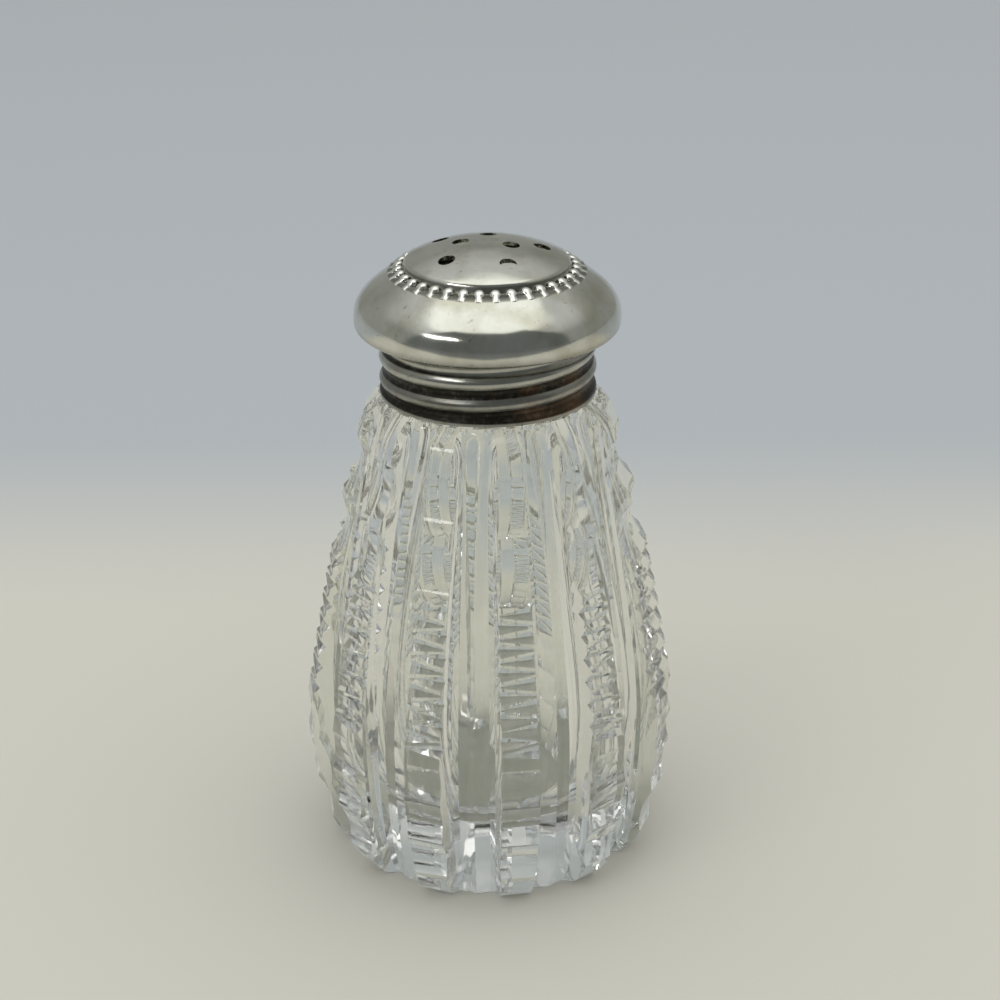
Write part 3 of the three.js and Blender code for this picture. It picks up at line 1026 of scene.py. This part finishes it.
def worn_colour(tree, spot, cloud, speck):
    """Clean and worn silver in clouds, with a yellowish film and small brown spots."""
    metal = ramp(tree, cloud, (0.3, CLEAN_SILVER), (0.7, WORN_SILVER))
    film = ramp(tree, noise(tree, spot.where, *FILM), (0.48, shade(0)), (0.68, shade(0.8)))
    metal = mix(tree, film, metal, YELLOWED)
    spots = ramp(tree, speck, (0.62, shade(0)), (0.74, shade(0.5)))
    return mix(tree, spots, metal, BROWN)


def tarnish_and_shade_colour(tree, spot, cloud):
    """Nearly black, and brown in clouds, more of them to one side."""
    browner = maths(tree, "MULTIPLY_ADD", spot.x, BROWNER_BY, cloud)
    return mix(tree, ramp(tree, browner, (0.56, shade(0)), (0.74, shade(1))), DARK_TARNISH_AND_SHADE, BROWN)


def silver(name, masks):
    material, tree = new_material(name)
    shader = tree.nodes["Principled BSDF"]
    spot = own_place(tree)
    cloud = noise(tree, spot.where, *SILVER_CLOUD)
    speck = noise(tree, spot.where, *SPECK)
    scratch = noise(tree, spot.where, *SCRATCH)
    crossing = noise(tree, spot.where, *CROSSING)
    dents = noise(tree, spot.where, *DENTS)
    # The first mask holds tarnish and painted shade together.
    tarnish_and_shade, rubbed = masks(tree, spot)
    metal = mix(tree, rubbed, worn_colour(tree, spot, cloud, speck), RUBBED_SILVER)
    broken = maths(tree, "MULTIPLY_ADD", speck, *BROKEN_TARNISH_AND_SHADE)
    tarnish_and_shade = maths(tree, "MULTIPLY", tarnish_and_shade, broken, clamp=True)
    tree.links.new(mix(tree, tarnish_and_shade, metal, tarnish_and_shade_colour(tree, spot, cloud)), shader.inputs["Base Color"])
    shader.inputs["Metallic"].default_value = 1.0
    polish = maths(tree, "MULTIPLY_ADD", cloud, *SILVER_ROUGHNESS)
    rough = maths(tree, "MULTIPLY_ADD", tarnish_and_shade, TARNISH_AND_SHADE_ROUGHNESS, polish)
    tree.links.new(rough, shader.inputs["Roughness"])
    bump(tree, shader, (dents, *DENT_BUMP), (scratch, *FINE_BUMP), (crossing, *FINE_BUMP),
         (speck, *SPECK_BUMP))
    return material


# %% [markdown]
# The dome is darkest in the channel, with tarnish where no cloth gets between the beads and painted
# shade in the hollow, and the beads themselves are rubbed brighter than the rest. Under the bulge it
# carries painted shade over some tarnish. Where the beads are is worked out by the same sizes that made
# them.

# %% Where the dome is dark and where it is bright
# The channel's dark is tarnish, with painted shade in the hollow.
CHANNEL_DARK = (STEP_FOOT - 0.35, CHANNEL_RADIUS + 0.12)
CHANNEL_DARK_TOP = CROWN_EDGE - 0.2
CHANNEL_SOFT = 0.1
CHANNEL_TARNISH_AND_SHADE = 0.65
HEAD_SOFT = 0.05
TAIL_SOFT = 0.08
# Painted shade under the bulge, over some tarnish.
BULGE_SHADE_TOP = SEAM_HEIGHT + 0.9
BULGE_SHADE_SOFT = 0.5
BULGE_SHADE_AND_TARNISH = 0.45


def bead_mask(tree, spot):
    """One on the heads and tails of the beads, told by how far a point is from the nearest one."""
    angle = maths(tree, "ARCTAN2", spot.y, spot.x)
    part = maths(tree, "WRAP", angle, 2 * math.pi / BEADS)
    aside = times(tree, maths(tree, "SUBTRACT", part, math.pi / BEADS), spot.radius)
    aside = maths(tree, "ABSOLUTE", aside)
    outward = maths(tree, "SUBTRACT", spot.radius, HEAD_PLACE)
    head = below(tree, length(tree, aside, outward), 0.95 * HEAD_HALF, HEAD_SOFT)
    tail = times(tree, below(tree, aside, TAIL_HALF, TAIL_SOFT), above(tree, outward, 0, CHANNEL_SOFT))
    return most(tree, head, tail)


def dome_masks(tree, spot):
    """Tarnish and painted shade in the channel and under the bulge; beads are rubbed bright."""
    # Tarnish and painted shade in the channel.
    channel = between(tree, spot.radius, *CHANNEL_DARK, CHANNEL_SOFT)
    channel = times(tree, channel, below(tree, spot.height, CHANNEL_DARK_TOP, CHANNEL_SOFT))
    beads = times(tree, channel, bead_mask(tree, spot))
    channel = times(tree, maths(tree, "SUBTRACT", channel, beads), CHANNEL_TARNISH_AND_SHADE)
    # Painted shade under the bulge, over some tarnish.
    painted_under = times(tree, below(tree, spot.height, BULGE_SHADE_TOP, BULGE_SHADE_SOFT), BULGE_SHADE_AND_TARNISH)
    return most(tree, channel, painted_under), beads


dress(dome, silver("dome_silver", dome_masks))

# %% [markdown]
# On the collar tarnish and painted shade lie in the grooves of the screw, whose depth was kept with
# each point, and painted shade over tarnish lies at the hem, where it meets the glass. A painted shadow
# runs as a line under the dome. The rolls are darker all over, the lower one more than the upper. The
# solder was never polished, so it is dark all over.

# %% Where the collar and the solder are dark
# In the collar, soil means tarnish and painted shade together.
GROOVE_STEP = (0.5, 0.2)  # share of a groove's depth where the soil begins, and its soft edge
GROOVES_TOP = (SEAM_HEIGHT - 1.6, 0.3)
# A painted shadow line under the dome's lip.
PAINTED_SHADOW_LINE = (SEAM_HEIGHT - 1.9, SEAM_HEIGHT - 1.6, 0.15)  # a dark line under the dome
PAINTED_SHADOW_SHARE = 0.8
# Painted shade on the hem, over tarnish.
HEM_SHADE_AND_TARNISH = (COLLAR_BOTTOM + 0.25, COLLAR_BOTTOM + 1.5, 0.2)
# The rolls are darker all over, and the lower one darker still.
LOWER_TOP = (COLLAR_BOTTOM + 3.4, 0.4)
ROLL_DARKENING = (0.24, 0.32)  # what the lower roll adds, and the least


def collar_masks(tree, spot):
    """Tarnish and painted shade in grooves and hem, a painted shadow line, and darker all over."""
    groove = add_node(tree, "ShaderNodeAttribute", attribute_name="groove").outputs["Fac"]
    # Tarnish and painted shade in the grooves.
    deep = times(tree, above(tree, groove, *GROOVE_STEP), below(tree, spot.height, *GROOVES_TOP))
    # Painted shadow line under the dome.
    line = times(tree, between(tree, spot.height, *PAINTED_SHADOW_LINE), PAINTED_SHADOW_SHARE)
    # Painted shade and tarnish at the hem.
    hem_shade_and_tarnish = between(tree, spot.height, *HEM_SHADE_AND_TARNISH)
    lower = below(tree, spot.height, *LOWER_TOP)
    darkened = maths(tree, "MULTIPLY_ADD", lower, *ROLL_DARKENING)
    return most(tree, deep, hem_shade_and_tarnish, line, darkened), 0.0


def solder_masks(tree, spot):
    """Dark all over, nothing rubbed."""
    return 1.0, 0.0


dress(collar_piece, silver("collar_silver", collar_masks))
dress(solder_piece, silver("seam_solder", solder_masks))

# %% [markdown]
# The floor is one wide plain sheet. Close to the shaker it is warm and pale, and further back it turns
# to a cool pale grey, so that the glass has two tones to bend. Right under the glass a pool of light is
# painted on: the floor is paler there, and glows faintly for rays that come through the glass.
# Polished silver needs something dark to mirror, so rays that it mirrors find the floor dark from a
# little way in front.

# %% Floor
FLOOR_HALF = 3.0  # in metres
FLOOR_DROP = 0.1  # the foot stands just clear of the floor
FLOOR_ROUGHNESS = 0.75
NEAR_COLOUR = (0.60, 0.59, 0.52)
FAR_COLOUR = (0.42, 0.455, 0.475)
FAR_STEP = (94, 40)  # how far back the colour changes, and half of how wide the change is
# A painted pool of light under the glass: a paler colour, and a faint glow for rays through the glass.
PAINTED_POOL_COLOUR = (0.80, 0.79, 0.72)
PAINTED_POOL_STEP = (0.75 * WIDEST_RADIUS, 3)
PAINTED_POOL_GLOW = 0.08
MIRRORED_DARK = (0.17, 0.18, 0.18)
MIRRORED_STEP = (-220, 10)  # where the dark begins in front, and half of how wide its edge is


def mirrored_outside(tree):
    """One for a ray that was mirrored on the outside of a piece and hasn't been inside the glass."""
    rays = add_node(tree, "ShaderNodeLightPath").outputs
    outside_glass = maths(tree, "LESS_THAN", rays["Transmission Depth"], 0.5)
    return times(tree, rays["Is Glossy Ray"], outside_glass)


def floor_material():
    material, tree = new_material("pale_floor")
    shader = tree.nodes["Principled BSDF"]
    shader.inputs["Roughness"].default_value = FLOOR_ROUGHNESS
    spot = own_place(tree)
    colour = mix(tree, above(tree, spot.y, *FAR_STEP), NEAR_COLOUR, FAR_COLOUR)
    # Painted pool of light: the floor is paler under the glass.
    painted_under = below(tree, spot.radius, *PAINTED_POOL_STEP)
    colour = mix(tree, painted_under, colour, PAINTED_POOL_COLOUR)
    dark = times(tree, below(tree, spot.y, *MIRRORED_STEP), mirrored_outside(tree))
    tree.links.new(mix(tree, dark, colour, MIRRORED_DARK), shader.inputs["Base Color"])
    # Painted glow under the glass, for rays that come through it.
    through_glass = add_node(tree, "ShaderNodeLightPath").outputs["Is Transmission Ray"]
    painted_glow = times(tree, times(tree, painted_under, through_glass), PAINTED_POOL_GLOW)
    tree.links.new(painted_glow, shader.inputs["Emission Strength"])
    shader.inputs["Emission Color"].default_value = (*PAINTED_POOL_COLOUR, 1)
    return material


bpy.ops.object.select_all(action="DESELECT")
bpy.ops.mesh.primitive_plane_add(size=2 * FLOOR_HALF, location=(0, 0, -FLOOR_DROP * MM))
floor = bpy.context.object
floor.name = "floor"
dress(floor, floor_material())

# %% [markdown]
# Light is plain and soft. The world does two jobs, told apart by the kind of ray. To the things that it
# lights it is one even level. Mirrors and clear glass see grey all round in it, and a paler tone high
# up. Metal looks like metal only by its contrasts, so rays mirrored on the outside of the silver also
# find a bright patch straight above and a dark zone in front. In the next cell a step is a level and
# its soft edge.

# %% World
LIGHT_LEVEL = (0.80, 0.80, 0.80)
AROUND = (0.43, 0.46, 0.47)
MIRRORED_AROUND = (0.30, 0.31, 0.29)
HIGH_UP = (0.60, 0.61, 0.60)
HIGH_STEP = (0.62, 0.2)
BRIGHT = (1.24, 1.26, 1.20)
BRIGHT_TOWARDS = (0, -0.12, 1)
BRIGHT_STEP = (0.84, 0.05)  # cosine of the patch's half angle, and its soft edge
FRONT_DARK = (0.14, 0.15, 0.15)
FRONT_STEP = (-0.32, 0.03)
FRONT_TOP = (math.sin(math.radians(62)), 0.02)


def bright_patch(tree, direction):
    towards = add_node(tree, "ShaderNodeVectorMath", operation="DOT_PRODUCT")
    tree.links.new(direction, towards.inputs[0])
    towards.inputs[1].default_value = Vector(BRIGHT_TOWARDS).normalized()
    return above(tree, towards.outputs["Value"], *BRIGHT_STEP)


def world_colour(tree):
    direction = add_node(tree, "ShaderNodeTexCoord").outputs["Generated"]
    apart = add_node(tree, "ShaderNodeSeparateXYZ")
    tree.links.new(direction, apart.inputs["Vector"])
    mirrored = mirrored_outside(tree)
    colour = mix(tree, mirrored, AROUND, MIRRORED_AROUND)
    colour = mix(tree, above(tree, apart.outputs["Z"], *HIGH_STEP), colour, HIGH_UP)
    colour = mix(tree, times(tree, bright_patch(tree, direction), mirrored), colour, BRIGHT)
    front = below(tree, apart.outputs["Y"], *FRONT_STEP)
    front = times(tree, front, below(tree, apart.outputs["Z"], *FRONT_TOP))
    return mix(tree, times(tree, front, mirrored), colour, FRONT_DARK)


world = bpy.data.worlds.new("soft_light")
world.use_nodes = True
bpy.context.scene.world = world
tree = world.node_tree
rays = add_node(tree, "ShaderNodeLightPath").outputs
seen = most(tree, rays["Is Glossy Ray"], rays["Is Transmission Ray"], rays["Is Camera Ray"])
background = tree.nodes["Background"]
tree.links.new(mix(tree, seen, LIGHT_LEVEL, world_colour(tree)), background.inputs["Color"])
background.inputs["Strength"].default_value = 1.0
print("the world has", len(tree.nodes), "nodes")

# %% [markdown]
# Two lamps add to it. A large soft one overhead gives the shaker its shadow, and isn't mirrored itself.
# A small long one, high at the front left, is there for the narrow glints on the silver and the glass.

# %% Lamps
SOFT_PLACE = (0.1, -0.1, 0.9)  # in metres
SOFT_SIZE = (1.3, 1.0)
SOFT_POWER = 2.1
LONG_PLACE = (-0.39, -0.39, 0.48)
LONG_SIZE = (0.35, 0.07)
LONG_POWER = 0.5
AIM = Vector((0, 0, 0.05))


def lamp(name, place, size, power):
    """An oblong lamp that faces the shaker."""
    bpy.ops.object.light_add(type="AREA", location=place)
    made = bpy.context.object
    made.name = name
    made.data.shape = "RECTANGLE"
    made.data.size, made.data.size_y = size
    made.data.energy = power
    made.rotation_mode = "QUATERNION"
    made.rotation_quaternion = (AIM - Vector(place)).to_track_quat("-Z", "Y")
    print(name, "stands", round((AIM - Vector(place)).length, 2), "m away")
    return made


soft_lamp = lamp("soft_lamp", SOFT_PLACE, SOFT_SIZE, SOFT_POWER)
soft_lamp.visible_glossy = False
lamp("long_lamp", LONG_PLACE, LONG_SIZE, LONG_POWER)
